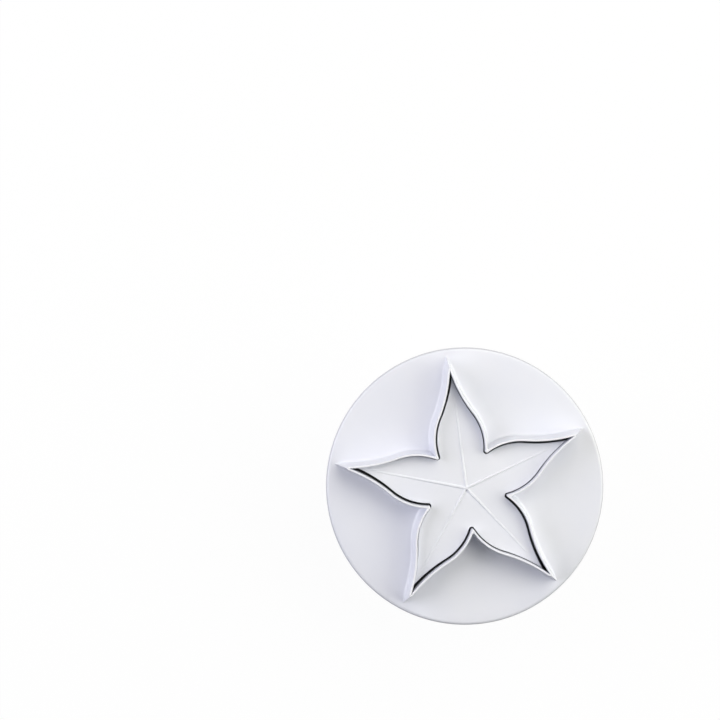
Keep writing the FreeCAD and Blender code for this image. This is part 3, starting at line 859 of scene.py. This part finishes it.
def studio_sky(stage):
    """Even light from all round, which the camera sees as white."""
    world = bpy.data.worlds.new("studio_sky")
    world.use_nodes = True
    tree = world.node_tree
    light = tree.nodes["Background"]
    light.inputs["Color"].default_value = (*stage.sky, 1)
    light.inputs["Strength"].default_value = stage.sky_strength
    white = tree.nodes.new("ShaderNodeBackground")
    white.inputs["Color"].default_value = (1, 1, 1, 1)
    white.inputs["Strength"].default_value = 1.0
    mix = tree.nodes.new("ShaderNodeMixShader")
    tree.links.new(white_to_the_eye(tree), mix.inputs[0])
    tree.links.new(light.outputs[0], mix.inputs[1])
    tree.links.new(white.outputs[0], mix.inputs[2])
    tree.links.new(mix.outputs[0], tree.nodes["World Output"].inputs["Surface"])
    bpy.context.scene.world = world


def soft_lamp(stage, role):
    """A soft round lamp that looks at the cutter from its heading and height."""
    name = role + "_lamp"
    heading, height = getattr(stage, role + "_heading"), getattr(stage, role + "_height")
    distance = stage.lamp_distance
    lamp = bpy.data.lights.new(name, "AREA")
    lamp.shape = "DISK"
    lamp.size = stage.lamp_size
    lamp.energy = getattr(stage, role + "_power")
    lamp.color = getattr(stage, role + "_colour")
    flat = distance * math.cos(height)
    holder = bpy.data.objects.new(name, lamp)
    holder.location = (
        flat * math.cos(heading), flat * math.sin(heading), DISC_HIGH.z + distance * math.sin(height))
    holder.rotation_euler = (QUARTER - height, 0, heading + QUARTER)
    bpy.context.scene.collection.objects.link(holder)


def picture_camera(stage):
    """A camera straight above, turned and placed so that the cutter lies in the picture as in the photo."""
    lens = bpy.data.cameras.new("picture_camera")
    lens.lens = stage.lens
    lens.sensor_width = 36.0
    lens.clip_start = 0.01
    turn = stage.camera_turn
    holder = bpy.data.objects.new("picture_camera", lens)
    holder.location = (
        stage.camera_right * math.cos(turn) - stage.camera_up * math.sin(turn),
        stage.camera_right * math.sin(turn) + stage.camera_up * math.cos(turn),
        DISC_HIGH.z + stage.camera_height,
    )
    holder.rotation_euler = (0, 0, turn)
    bpy.context.scene.collection.objects.link(holder)
    bpy.context.scene.camera = holder


class CUTTER_OT_stage(bpy.types.Operator):
    """Lays the floor, hangs the lamps and sets up the camera"""
    bl_idname = "cutter.stage"
    bl_label = "Stage"

    def execute(self, context):
        stage = context.scene.stage_settings
        paper_floor(stage)
        studio_sky(stage)
        for role in ("right", "left", "upper"):
            soft_lamp(stage, role)
        picture_camera(stage)
        context.scene.view_settings.view_transform = "Standard"
        return {"FINISHED"}


OPERATORS = (
    CUTTER_OT_moulding, CUTTER_OT_die, CUTTER_OT_knob, CUTTER_OT_spring, CUTTER_OT_shaft, CUTTER_OT_stage,
)
SETTINGS = {
    "calyx_shape": CalyxShape,
    "moulding_sizes": MouldingSizes,
    "die_sizes": DieSizes,
    "knob_sizes": KnobSizes,
    "spring_sizes": SpringSizes,
    "finishes": Finishes,
    "stage_settings": StageSettings,
}


class CUTTER_PT_pieces(bpy.types.Panel):
    """Lists the cutter's pieces and their settings"""
    bl_idname = "CUTTER_PT_pieces"
    bl_label = "Plunger cutter"
    bl_space_type = "VIEW_3D"
    bl_region_type = "UI"
    bl_category = "Cutter"

    def draw(self, context):
        for operator in OPERATORS:
            self.layout.operator(operator.bl_idname)
        for name, group in SETTINGS.items():
            box = self.layout.box()
            box.label(text=group.__doc__)
            settings = getattr(context.scene, name)
            for key in group.__annotations__:
                box.prop(settings, key)


CLASSES = (*SETTINGS.values(), *OPERATORS, CUTTER_PT_pieces)


def register():
    for item in CLASSES:
        bpy.utils.register_class(item)
    for name, group in SETTINGS.items():
        setattr(bpy.types.Scene, name, PointerProperty(type=group))


def unregister():
    for name in SETTINGS:
        delattr(bpy.types.Scene, name)
    for item in reversed(CLASSES):
        bpy.utils.unregister_class(item)


def main():
    """Builds everything in order."""
    register()
    for operator in OPERATORS:
        family, name = operator.bl_idname.split(".")
        getattr(getattr(bpy.ops, family), name)()


if __name__ == "__main__":
    main()
